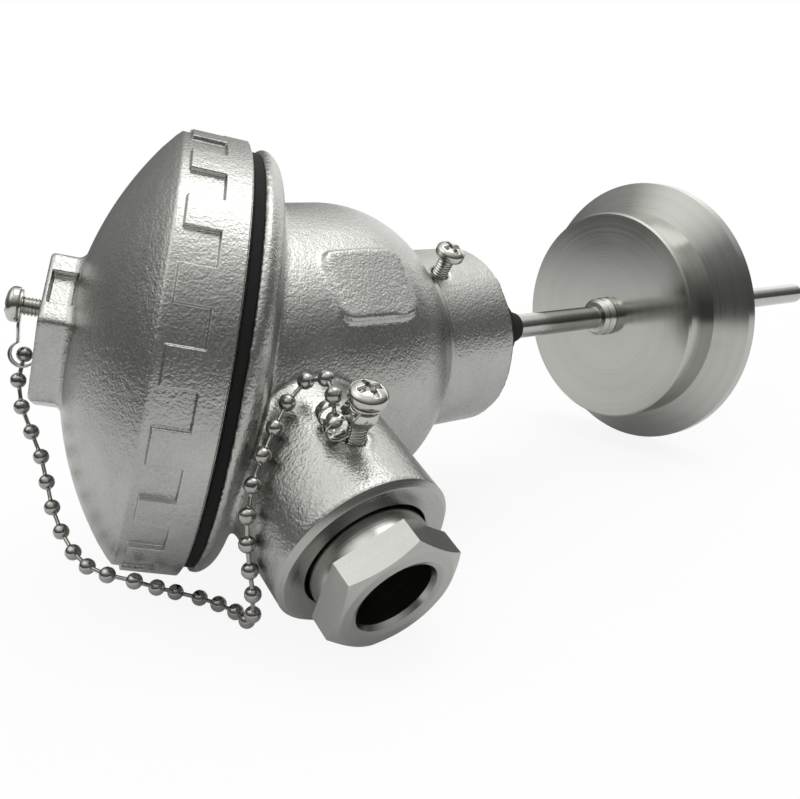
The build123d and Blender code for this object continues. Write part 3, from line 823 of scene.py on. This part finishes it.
@dataclass
class ScrewCap:
    """The cast cap: a dome with a key pattern round its band and a hexagonal boss."""

    frames: HeadFrame
    finishes: Finishes
    bore: float = 42.05
    foot: float = 1.9
    band: float = 46.2
    rise: float = 0.95
    ring_start: float = 2.7
    ring_end: float = 7.7
    tooth_end: float = 14.3
    teeth: int = 20
    phase_deg: float = 69.0
    edge: float = 0.34
    band_end: float = 15.6
    bevel: float = 41.5
    sphere: float = 73.0
    apex: float = 32.7
    wall: float = 4.2
    skirt: float = 11.0
    boss_flat: float = 15.2
    boss_top: float = 37.2
    boss_phase_deg: float = 42.7
    pocket_half: float = 3.9
    pocket_low: float = 31.3
    pocket_high: float = 36.1
    pocket_depth: float = 1.6

    def dome(self, radius: np.ndarray, shell: float = 0.0) -> np.ndarray:
        """Height of the dome, or of its inside, at a radius."""
        centre = self.apex - self.sphere
        return centre + np.sqrt((self.sphere - shell) ** 2 - radius**2)

    def columns(self) -> np.ndarray:
        """Angles in degrees, drawn together at the flanks of the teeth."""
        pitch = 360 / self.teeth
        flank = pitch / 4
        near = np.linspace(-0.32, 0.32, 6)
        half = np.concatenate(
            [
                np.linspace(-pitch / 2, -flank - 0.5, 4),
                -flank + near,
                np.linspace(-flank + 0.6, flank - 0.6, 8),
                flank + near,
                np.linspace(flank + 0.6, pitch / 2, 4)[:-1],
            ]
        )
        starts = self.phase_deg + pitch * np.arange(self.teeth)
        return np.radians((starts[:, None] + half[None, :]).ravel())

    def profile(self) -> tuple[np.ndarray, np.ndarray]:
        """Radius and height along the closed outline, from the bore's foot outwards."""
        marks = (self.ring_start, self.ring_end, self.tooth_end)
        near = np.linspace(-0.3, 0.3, 6)
        steps = [np.linspace(self.foot + 1.0, marks[0] - 0.35, 2)]
        for low, high in zip(marks, (*marks[1:], self.band_end)):
            steps.append(low + near)
            steps.append(np.linspace(low + 0.5, high - 0.5, 7))
        heights = np.unique(np.concatenate([*steps, [self.band_end]]))
        out = np.sin(np.linspace(0, np.pi / 2, 14))
        dome_radius = np.linspace(self.bevel, 0.0, 46)
        inner_radius = np.linspace(0.0, self.bevel - self.wall, 24)
        radius = np.concatenate(
            [
                [self.bore, self.band - 1.25, self.band - 1.0, self.band - 0.4, self.band],
                np.full(len(heights), self.band),
                self.band - 0.12 * out[1:8:3],
                [self.band - 0.5, self.band - 0.9, self.band - 1.3, self.bevel + 0.5],
                dome_radius,
                inner_radius,
                [self.bore, self.bore],
            ]
        )
        height = np.concatenate(
            [
                [self.foot, self.foot, self.foot + 0.05, self.foot + 0.35, self.foot + 0.8],
                heights,
                self.band_end + 0.15 * np.arange(1, 4),
                [self.band_end + 0.75, self.band_end + 1.2, self.band_end + 1.55],
                [self.dome(np.array(self.bevel)) - 0.32],
                self.dome(dome_radius),
                self.dome(inner_radius, self.wall),
                [self.skirt, self.foot],
            ]
        )
        return radius, height

    def shell(self) -> bpy.types.Object:
        """The dome and its band.

        Radius is the outline's radius plus the key's rise where the mask is 1. The mask
        is a ring all round and a tooth in the first half of each pitch above it.
        """
        angle = self.columns()
        radius, height = self.profile()
        pitch = 360 / self.teeth
        off = (np.degrees(angle) - self.phase_deg + pitch / 2) % pitch - pitch / 2
        tooth = 1 - smooth_step(np.abs(off), pitch / 4, 0.42)
        ring = smooth_step(height, self.ring_start, self.edge)
        ring_off = smooth_step(height, self.ring_end, self.edge)
        tooth_off = smooth_step(height, self.tooth_end, self.edge)
        on_band = (radius > self.band - 0.01).astype(float)
        mask = (ring * (1 - ring_off))[:, None] + (ring_off * (1 - tooth_off))[:, None] * tooth
        full = radius[:, None] + self.rise * mask * on_band[:, None]
        grid = np.stack(
            [
                full * np.cos(angle),
                full * np.sin(angle),
                np.broadcast_to(height[:, None], full.shape),
            ],
            axis=-1,
        )
        return grid_object("cap_casting", self.frames.flange, grid)

    def boss(self) -> bpy.types.Object:
        """The hexagonal boss with a pocket in one flat.

        The hexagon is a soft maximum over six directions, flared at its foot on the dome
        and rounded into its top. The pocket is a smooth mask pushed inwards.
        """
        around = 640
        angle = np.linspace(0, 2 * np.pi, around, endpoint=False)
        flats = np.radians(self.boss_phase_deg + 30 + 60 * np.arange(6))
        facing = np.clip(np.cos(angle[:, None] - flats[None, :]), 0, None)
        hexagon = self.boss_flat / (facing**34).sum(axis=1) ** (1 / 34)
        foot = self.dome(hexagon) - 0.5
        share = np.concatenate([np.linspace(0, 0.3, 12), np.linspace(0.33, 1, 30)])[:, None]
        corner = 0.9
        wall = foot[None, :] + share * (self.boss_top - corner - foot[None, :])
        flare = 1.5 * np.clip(1 - (wall - foot) / 2.0, 0, 1) ** 2.2
        arc = np.linspace(0, np.pi / 2, 8)[1:, None]
        shape = (len(arc), around)
        inset = np.concatenate([-flare, np.broadcast_to(corner * (1 - np.cos(arc)), shape)])
        height = np.concatenate(
            [wall, np.broadcast_to(self.boss_top - corner + corner * np.sin(arc), shape)]
        )
        radius = hexagon[None, :] - inset
        flat_rows = np.linspace(0.93, 0.0, 14)[:, None]
        radius = np.concatenate([radius, radius[-1:] * flat_rows])
        height = np.concatenate([height, np.full((len(flat_rows), around), self.boss_top)])
        x = radius * np.cos(angle)
        y = radius * np.sin(angle)
        side = np.array([math.cos(flats[0]), math.sin(flats[0])])
        along = -x * side[1] + y * side[0]
        depth = x * side[0] + y * side[1]
        hollow = (
            (1 - smooth_step(np.abs(along), self.pocket_half, 0.7))
            * smooth_step(height, self.pocket_low, 0.7)
            * (1 - smooth_step(height, self.pocket_high, 0.6))
            * (depth > self.boss_flat - 1.5)
        )
        x = x - side[0] * hollow * self.pocket_depth
        y = y - side[1] * hollow * self.pocket_depth
        return grid_object("cap_boss", self.frames.flange, np.stack([x, y, height], axis=-1))

    def build(self) -> None:
        """Make and dress the cap."""
        for piece in (self.shell(), self.boss()):
            dress(piece, self.finishes.cast)
            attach(piece, Body.LID.value)
            LOG.info("cap: %s", piece.name)
        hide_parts("cap")


@dataclass
class Gland:
    """The gland nut with its washer and seal."""

    finishes: Finishes

    def build(self) -> None:
        """Dress the gland's nodes."""
        dress_node("gland_nut", self.finishes.nut)
        dress_node("gland_washer", self.finishes.nut)
        dress_node("gland_seal", self.finishes.rubber)
        LOG.info("gland dressed")


@dataclass
class Probe:
    """The probe, its bushing, its ferrule and what it holds."""

    finishes: Finishes

    def build(self) -> None:
        """Dress the probe's nodes."""
        for node in ("sheath", "ferrule", "weld_bead"):
            dress_node(node, self.finishes.probe)
        dress_node("neck_bushing", self.finishes.rubber)
        dress_node("insulation", self.finishes.powder)
        dress_node("sensing_element", self.finishes.ceramic)
        LOG.info("probe dressed")


@dataclass
class Insert:
    """What the chamber holds: plate, block, terminals, screws, springs and leads."""

    finishes: Finishes

    def build(self) -> None:
        """Dress the insert's nodes."""
        dress_node("insert_plate", self.finishes.nut)
        dress_node("terminal_block", self.finishes.ceramic)
        dress_node("terminals", self.finishes.brass)
        for node in ("terminal_screws", "block_screws", "lead_wires"):
            dress_node(node, self.finishes.nickel)
        dress_node("block_springs", self.finishes.wire)
        LOG.info("insert dressed")


@dataclass
class SmallScrew:
    """A cross-recessed pan-head screw with a real thread."""

    name: str
    base: Axes
    stand: float
    depth: float
    body: Body
    node: str
    radius: float = 2.0
    head_radius: float = 3.75
    head_height: float = 2.9
    pitch: float = 0.7
    thread: float = 0.36

    def shank(self) -> bpy.types.Object:
        """The threaded shank.

        Radius at angle a and height h falls below the outside by the thread's depth times
        a rounded saw of h over the pitch less a over a turn.
        """
        low = -self.depth
        around = 40
        rows = int((self.stand + self.depth) / self.pitch * 10) + 1
        height = np.linspace(low, self.stand, rows)[:, None]
        angle = np.linspace(0, 2 * np.pi, around, endpoint=False)[None, :]
        phase = (height / self.pitch - angle / (2 * np.pi)) % 1.0
        groove = np.abs(2 * phase - 1) ** 0.9
        taper = np.clip((height - low) / 1.0, 0.35, 1.0)
        radius = (self.radius - self.thread * groove) * taper
        grid = np.stack(
            [radius * np.cos(angle), radius * np.sin(angle), np.broadcast_to(height, radius.shape)],
            axis=-1,
        )
        tip = np.broadcast_to([0.0, 0.0, low], (1, around, 3))
        top = np.broadcast_to([0.0, 0.0, self.stand], (1, around, 3))
        return grid_object(self.name + "_shank", self.base, np.concatenate([tip, grid, top]))

    def head(self) -> bpy.types.Object:
        """The domed head with its cross recess, a smooth mask pushed into the dome."""
        size, rise = self.head_radius, self.head_height
        arc = np.linspace(0, 1, 34)
        dome_radius = size * (1 - arc**1.4)
        dome_height = rise * (0.42 + 0.58 * np.sqrt(np.clip(1 - (dome_radius / size) ** 2.2, 0, 1)))
        radius = np.concatenate([[0, size * 0.9, size * 0.98, size], dome_radius])
        height = np.concatenate([[0, 0, 0.12, 0.35], dome_height])
        angle = np.linspace(0, 2 * np.pi, 96, endpoint=False)[None, :]
        x = radius[:, None] * np.cos(angle)
        y = radius[:, None] * np.sin(angle)
        arm, half = 0.62 * size, 0.15 * size

        def bar(across: np.ndarray, along: np.ndarray) -> np.ndarray:
            """One bar of the cross."""
            return (1 - smooth_step(np.abs(across), half, 0.3)) * (
                1 - smooth_step(np.abs(along), arm, 0.5)
            )

        cross = np.maximum(bar(x, y), bar(y, x))
        on_top = (np.arange(len(radius)) > 4)[:, None]
        z = height[:, None] - 1.25 * cross * on_top + self.stand
        return grid_object(self.name + "_head", self.base, np.stack([x, y, z], axis=-1))

    def build(self, finish: bpy.types.Material) -> None:
        """Make and dress the screw."""
        shank, head = self.shank(), self.head()
        for piece in (shank, head):
            dress(piece, finish)
            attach(piece, self.body.value)
        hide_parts(self.node)
        LOG.info("screw: %s", self.name)


@dataclass
class Ribbon:
    """A bent strip of sheet: a path in its local x-z plane, wide along local y."""

    axes: Axes
    sheet: float = 0.45

    def strip(self, name: str, path: np.ndarray, low: float, high: float) -> bpy.types.Object:
        """One strip along a path between two widths.

        Args:
            name: the piece's name.
            path: points of (x, z) along the strip's middle.
            low: width start along y.
            high: width end along y.

        Returns:
            The piece.
        """
        run = np.gradient(path, axis=0)
        run /= np.linalg.norm(run, axis=1)[:, None]
        normal = np.stack([-run[:, 1], run[:, 0]], axis=1)
        half = self.sheet / 2
        trim = 0.1
        corners = [
            (-half, low + trim), (-half, high - trim), (-half + trim, high),
            (half - trim, high), (half, high - trim), (half, low + trim),
            (half - trim, low), (-half + trim, low),
        ]
        offset = np.array([corner[0] for corner in corners])
        wide = np.array([corner[1] for corner in corners])
        place = path[:, None, :] + normal[:, None, :] * offset[None, :, None]
        grid = np.stack(
            [place[..., 0], np.broadcast_to(wide, place.shape[:2]), place[..., 1]], axis=-1
        )
        first = grid[:1].mean(axis=1, keepdims=True).repeat(len(corners), axis=1)
        last = grid[-1:].mean(axis=1, keepdims=True).repeat(len(corners), axis=1)
        return grid_object(name, self.axes, np.concatenate([first, grid, last]))


def arc_path(
    centre: tuple[float, float], radius: float, start: float, sweep: float, steps: int = 40
) -> np.ndarray:
    """Points of an arc, in degrees, in a ribbon's plane."""
    angle = np.radians(start + sweep * np.linspace(0, 1, steps))
    return np.stack(
        [centre[0] + radius * np.cos(angle), centre[1] + radius * np.sin(angle)], axis=1
    )


@dataclass
class Clasp:
    """The strip that joins the chain's end ball to a screw."""

    name: str
    axes: Axes
    body: Body
    node: str
    tail: np.ndarray
    width: float = 6.0
    slot: float = 1.9
    washer: float = 3.3
    shift: float = 0.0

    def build(self, finish: bpy.types.Material, roll: np.ndarray) -> None:
        """Make the washer, the strip and the two bands of its rolled end.

        Args:
            finish: its material.
            roll: the path of the rolled end.
        """
        ribbon = Ribbon(self.axes)
        half = self.width / 2
        washer = lathe(
            self.name + "_washer",
            self.axes,
            rounded([(2.05, 0, 0.1), (self.washer, 0, 0.15), (self.washer, 0.5, 0.15), (2.05, 0.5, 0.1)]),
            64,
        )
        pieces = [
            washer,
            ribbon.strip(self.name + "_strip", self.tail, -half * 0.8, half * 0.8),
            ribbon.strip(
                self.name + "_band_a", roll, self.shift - half, self.shift - self.slot / 2
            ),
            ribbon.strip(
                self.name + "_band_b", roll, self.shift + self.slot / 2, self.shift + half
            ),
        ]
        for piece in pieces:
            dress(piece, finish)
            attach(piece, self.body.value)
        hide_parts(self.node)
        LOG.info("clasp: %s", self.name)


@dataclass
class BallChain:
    """The chain of hollow beads between the clasps."""

    finishes: Finishes
    ball: float = 1.65
    link: float = 0.42
    rings: int = 19
    around: int = 26
    link_steps: int = 12

    def centres(self) -> np.ndarray:
        """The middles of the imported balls, in order from the cap's clasp."""
        mesh = bpy.data.objects["chain_balls"].data
        points = np.empty(len(mesh.vertices) * 3)
        mesh.vertices.foreach_get("co", points)
        points = points.reshape(-1, 3)
        cell = np.round(points / 1e-5).astype(np.int64)
        _, same = np.unique(cell, axis=0, return_inverse=True)
        same = same.ravel()
        edges = np.empty(len(mesh.edges) * 2, dtype=np.int32)
        mesh.edges.foreach_get("vertices", edges)
        edges = same[edges.reshape(-1, 2)]
        label = np.arange(same.max() + 1)
        for _ in range(400):
            low = label[edges].min(axis=1)
            before = label.copy()
            np.minimum.at(label, edges[:, 0], low)
            np.minimum.at(label, edges[:, 1], low)
            if (label == before).all():
                break
        mark = label[same]
        found = [
            (points[mark == one].min(axis=0) + points[mark == one].max(axis=0)) / 2
            for one in np.unique(mark)
        ]
        rest = list(found)
        clasp = sum(np.array(corner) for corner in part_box("cap_clasp")) / 2
        order = [clasp]
        while rest:
            near = min(rest, key=lambda point: np.linalg.norm(point - order[-1]))
            order.append(near)
            rest = [point for point in rest if point is not near]
        return np.array(order[1:])

    def build(self, centres: np.ndarray) -> None:
        """Make the balls and the links as one piece.

        Args:
            centres: the middles of the balls, in order.
        """
        points: list[np.ndarray] = []
        faces: list[np.ndarray] = []
        count = 0
        follow = np.gradient(centres, axis=0)
        for centre, along in zip(centres, follow):
            pole = along / np.linalg.norm(along)
            points.append(sphere_points(centre, self.ball, pole, self.rings, self.around))
            faces.append(quads(self.rings, self.around, True) + count)
            count += self.rings * self.around
        shape = (self.link_steps, self.link_steps)
        for start, end in zip(centres, centres[1:]):
            axes = Axes.along(start, end - start, (0.31, 0.22, 0.92))
            length = np.linalg.norm(end - start) / MM
            share = np.linspace(0, 1, self.link_steps)[:, None]
            neck = self.link * (1 + 0.9 * np.abs(2 * share - 1) ** 10)
            angle = np.linspace(0, 2 * np.pi, self.link_steps, endpoint=False)[None, :]
            height = self.ball * 0.8 + share * (length - 1.6 * self.ball)
            grid = np.stack(
                [neck * np.cos(angle), neck * np.sin(angle), np.broadcast_to(height, shape)],
                axis=-1,
            )
            points.append(axes.place(grid.reshape(-1, 3)))
            faces.append(quads(*shape, True) + count)
            count += self.link_steps**2
        piece = mesh_object("ball_chain", np.concatenate(points), np.concatenate(faces))
        dress(piece, self.finishes.bead)
        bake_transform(piece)
        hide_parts("chain_balls", "chain_links")
        LOG.info("chain: %d balls", len(centres))


def clasp_plane(
    base: Axes, turn_deg: float, height: float, ball: np.ndarray
) -> tuple[Axes, float, float, float]:
    """The plane of a clasp's strip, and where the chain's end ball lies in it.

    Args:
        base: the screw's axes.
        turn_deg: the strip's heading round the screw.
        height: how far up the screw the strip sits, in millimetres.
        ball: the ball's middle, in the row's frame.

    Returns:
        The axes, then the ball's places along, across and above the strip, in millimetres.
    """
    turn = math.radians(turn_deg)
    seat = base.moved(0, 0, height)
    ahead = math.cos(turn) * base.x + math.sin(turn) * base.y
    plane = Axes.along(seat.origin, base.z, ahead)
    offset = (ball - plane.origin) / MM
    return plane, float(offset @ plane.x), float(offset @ plane.y), float(offset @ plane.z)


def small_fittings(
    joints: dict[str, dict],
    frames: HeadFrame,
    finishes: Finishes,
    end_balls: tuple[np.ndarray, np.ndarray],
) -> None:
    """The three screws and the two clasps, placed from their joints.

    Args:
        joints: joint name to its packed values.
        frames: the sensor's axes.
        finishes: the finishes.
        end_balls: the middles of the chain's end balls, at the cap and at the entry.
    """
    hints = {"cap": frames.entry.z, "conduit": frames.entry.z, "neck": frames.head.z}
    bases = {}
    for name, hint in hints.items():
        joint = joints[f"{name}_screw_turn"]
        bases[name] = Axes.along(joint["pos_m"], joint["axis"], hint)
    neck_size = {"radius": 1.85, "head_radius": 3.45, "head_height": 2.7}
    for name, stand, depth, body, size in (
        ("cap", 4.9, 6.0, Body.LID_SCREW, {}),
        ("conduit", 9.3, 6.5, Body.BOSS_SCREW, {}),
        ("neck", 5.0, 13.0, Body.NECK_LOCK, neck_size),
    ):
        screw = SmallScrew(
            f"{name}_screw_visual", bases[name], stand, depth, body, f"{name}_screw", **size
        )
        screw.build(finishes.nickel)
    plane, along, across, rise = clasp_plane(bases["cap"], -57.0, 4.4, end_balls[0])
    LOG.info("cap clasp ball: along %.2f, across %.2f, rise %.2f", along, across, rise)
    curl = 2.6
    tail = np.array([(1.9, 0.22), (4.0, 0.2), (along - curl * 0.86, rise + 1.6)])
    Clasp(
        "cap_clasp_visual", plane, Body.LID_CLASP, "cap_clasp", tail, width=4.6, slot=1.5, shift=across
    ).build(finishes.nickel, arc_path((along - 0.1, rise + 0.3), curl, 147, -196))
    plane, along, across, rise = clasp_plane(bases["conduit"], -100.0, 8.4, end_balls[1])
    LOG.info("entry clasp ball: along %.2f, across %.2f, rise %.2f", along, across, rise)
    tail = np.array([(-2.2, 0.3), (0.0, 0.3), (1.6, 0.2), (along - 0.6, rise + curl)])
    Clasp(
        "conduit_clasp_visual", plane, Body.BOSS_CLASP, "conduit_clasp", tail, shift=across
    ).build(finishes.nickel, arc_path((along, rise), curl, 105, -250))
    outline = [(0.0, 3.6, 0.0), (2.3, 3.6, 0.3), (3.0, 5.6, 0.6), (2.9, 7.7, 0.5), (0.0, 7.7, 0.0)]
    collar = lathe("conduit_collar", bases["conduit"], rounded(outline), 64)
    dress(collar, finishes.nickel)
    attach(collar, Body.BOSS_SCREW.value)


@dataclass(frozen=True)
class Studio:
    """A pale floor, a plain soft room and the camera of the photograph.

    The room's light is a ramp over height plus soft lobes, each a ramp over the cosine
    to its direction. A lobe is its heading and rise in degrees, the cosine where it is
    full, the cosine where it ends, and its level. The camera sees plain white behind the
    object, and metal sees a share of that white as well.
    """

    floor_z: float = 0.0
    floor_tone: float = 0.85
    shadow_share: float = 0.13
    mirror_share: float = 0.05
    # How strongly the floor glows white to mirrored rays, a painted reflection.
    floor_painted_glow_share: float = 0.42
    # The middle of the floor's painted pool of light.
    painted_light_middle: tuple[float, float, float] = (0.05, 0.15, 0.0)
    lobes: tuple[tuple[float, float, float, float, float], ...] = (
        (12.0, 52.0, 0.94, 0.78, 0.55),
        (28.0, 8.0, 0.96, 0.83, 1.15),
        (160.0, 55.0, 0.97, 0.84, 0.8),
        (100.0, 20.0, 0.97, 0.86, 0.16),
    )
    eye: tuple[float, float, float] = (-0.190119, -0.177243, 0.094498)
    heading: float = 52.4549
    pitch: float = -15.908
    roll: float = -0.3896
    focal_px: float = 961.4
    width_px: int = 800

    @staticmethod
    def seen(shader: Shader, share: object, whole: object = 1.0) -> Socket:
        """How much of the plain white a ray sees.

        Args:
            shader: the tree to build in.
            share: how much a mirrored or a refracted ray sees.
            whole: how much the camera sees.

        Returns:
            A factor between 0 and 1.
        """
        rays = {
            kind: shader.node("ShaderNodeLightPath", {}, {}, f"Is {kind} Ray")
            for kind in ("Camera", "Glossy", "Transmission")
        }
        second = (rays["Glossy"] + rays["Transmission"]).clamped() * share
        return (rays["Camera"] * whole + second).clamped()

    def world(self) -> None:
        """White where the camera sees it; elsewhere a dim room with soft bright sides."""
        world = bpy.data.worlds.new("studio")
        world.use_nodes = True
        bpy.context.scene.world = world
        shader = Shader(world.node_tree)
        place = shader.node("ShaderNodeTexCoord", {}, {}, "Generated")
        height = shader.node("ShaderNodeSeparateXYZ", {}, {0: place}, "Z")
        light = (height * 0.5 + 0.5).ramp(
            (0.0, 0.04), (0.5, 0.04), (0.63, 0.08), (0.75, 0.25), (0.86, 0.62), (0.94, 1.1)
        )
        for heading, rise, inner, outer, level in self.lobes:
            close = shader.vector("DOT_PRODUCT", place, towards(heading, rise))
            light = light + close.ramp((outer, 0.0), (inner, 1.0)) * level
        seen = self.seen(shader, self.mirror_share)
        back = shader.node(
            "ShaderNodeBackground", {}, {"Color": (1.0, 1.0, 0.985, 1.0), "Strength": light}
        )
        white = shader.node(
            "ShaderNodeBackground", {}, {"Color": (1.0, 1.0, 1.0, 1.0), "Strength": 1.0}
        )
        mixed = shader.node("ShaderNodeMixShader", {}, {0: seen, 1: back, 2: white})
        shader.node("ShaderNodeOutputWorld", {}, {"Surface": mixed})

    def lamp(
        self,
        name: str,
        place: tuple[float, float, float],
        size: tuple[float, float],
        watts: float,
    ) -> None:
        """A rectangular soft lamp that points at the sensor's head.

        Args:
            name: the lamp's name.
            place: where it stands, in metres.
            size: its two sides, in metres.
            watts: its power.
        """
        data = bpy.data.lights.new(name, "AREA")
        data.shape = "RECTANGLE"
        data.size, data.size_y = size
        data.energy = watts
        lamp = bpy.data.objects.new(name, data)
        lamp.location = place
        aim = Vector((-0.08, 0.0, 0.04)) - Vector(place)
        lamp.rotation_euler = aim.to_track_quat("-Z", "Y").to_euler()
        bpy.context.scene.collection.objects.link(lamp)

    def floor(self) -> None:
        """The bench top: pale, white to the camera except where the object shades it; its colour is
        painted light, darker away from a middle point, and it glows white to mirrored rays as a painted
        reflection.
        """
        half = 3.0
        z = self.floor_z
        corners = np.array([(-half, -half, z), (half, -half, z), (half, half, z), (-half, half, z)])
        bench = mesh_object("bench", corners, np.array([[0, 1, 2, 3]]), smooth=False)
        material, shader = new_material("bench_top")
        tone = self.floor_tone
        place = shader.coordinates()
        away = shader.vector("LENGTH", place)
        # Painted light: the floor's colour is light round a middle point and painted darker further out,
        # a painted pool of light.
        far = shader.vector("LENGTH", shader.vector("SUBTRACT", place, self.painted_light_middle))
        painted_falloff = (far * 1.2 - 0.36).clamped()
        colour = shader.mix(painted_falloff, (tone, tone, tone, 1.0), (0.12, 0.12, 0.12, 1.0))
        plain = shader.node("ShaderNodeBsdfDiffuse", {}, {"Color": colour})
        white = shader.node(
            "ShaderNodeEmission", {}, {"Color": (1.0, 1.0, 1.0, 1.0), "Strength": 1.0}
        )
        share = (away * 3.0).clamped()
        keep = 1.0 - (1.0 - share) * self.shadow_share
        # Mirrored rays see the floor glow white: a painted reflection that fades with the painted
        # falloff, with painted shade right under the object where this ramp is low.
        near = away.ramp((0.0, 0.3), (0.12, 0.4), (0.3, 1.0))
        seen = self.seen(shader, (1.0 - painted_falloff) * near * self.floor_painted_glow_share, keep)
        mixed = shader.node("ShaderNodeMixShader", {}, {0: seen, 1: plain, 2: white})
        shader.node("ShaderNodeOutputMaterial", {}, {"Surface": mixed})
        bench.data.materials.append(material)

    def camera(self) -> None:
        """The camera at the photograph's viewpoint."""
        data = bpy.data.cameras.new("camera")
        data.sensor_fit = "HORIZONTAL"
        data.sensor_width = 36.0
        data.lens = self.focal_px * data.sensor_width / self.width_px
        data.clip_start = 0.005
        camera = bpy.data.objects.new("camera", data)
        ahead = Vector(towards(self.heading, self.pitch))
        level = ahead.to_track_quat("-Z", "Y").to_matrix().to_4x4()
        twist = Matrix.Rotation(math.radians(self.roll), 4, "Z")
        camera.matrix_world = Matrix.Translation(self.eye) @ level @ twist
        bpy.context.scene.collection.objects.link(camera)
        bpy.context.scene.camera = camera

    def build(self) -> None:
        """Set the view transform, the room, the floor, a lamp and the camera."""
        bpy.context.scene.view_settings.view_transform = "Standard"
        self.world()
        self.floor()
        self.lamp("overhead", (0.15, -0.05, 0.9), (0.5, 0.5), 1.6)
        self.camera()
        LOG.info("studio: ready")


def main() -> None:
    """Load the frame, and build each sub-assembly."""
    logging.basicConfig(level=logging.INFO, format="%(name)s: %(message)s")
    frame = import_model()
    joints = {joint["name"]: joint for joint in frame["record"]["behaviour"]["joints"]}
    frames = HeadFrame.read(joints)
    finishes = Finishes.make(frames.head, frames.entry)
    Studio().build()
    CastHead(frames, finishes).build()
    ScrewCap(frames, finishes).build()
    Gland(finishes).build()
    Probe(finishes).build()
    Insert(finishes).build()
    chain = BallChain(finishes)
    centres = chain.centres()
    chain.build(centres)
    small_fittings(joints, frames, finishes, (centres[0], centres[-1]))
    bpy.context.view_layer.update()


if __name__ == "__main__":
    main()
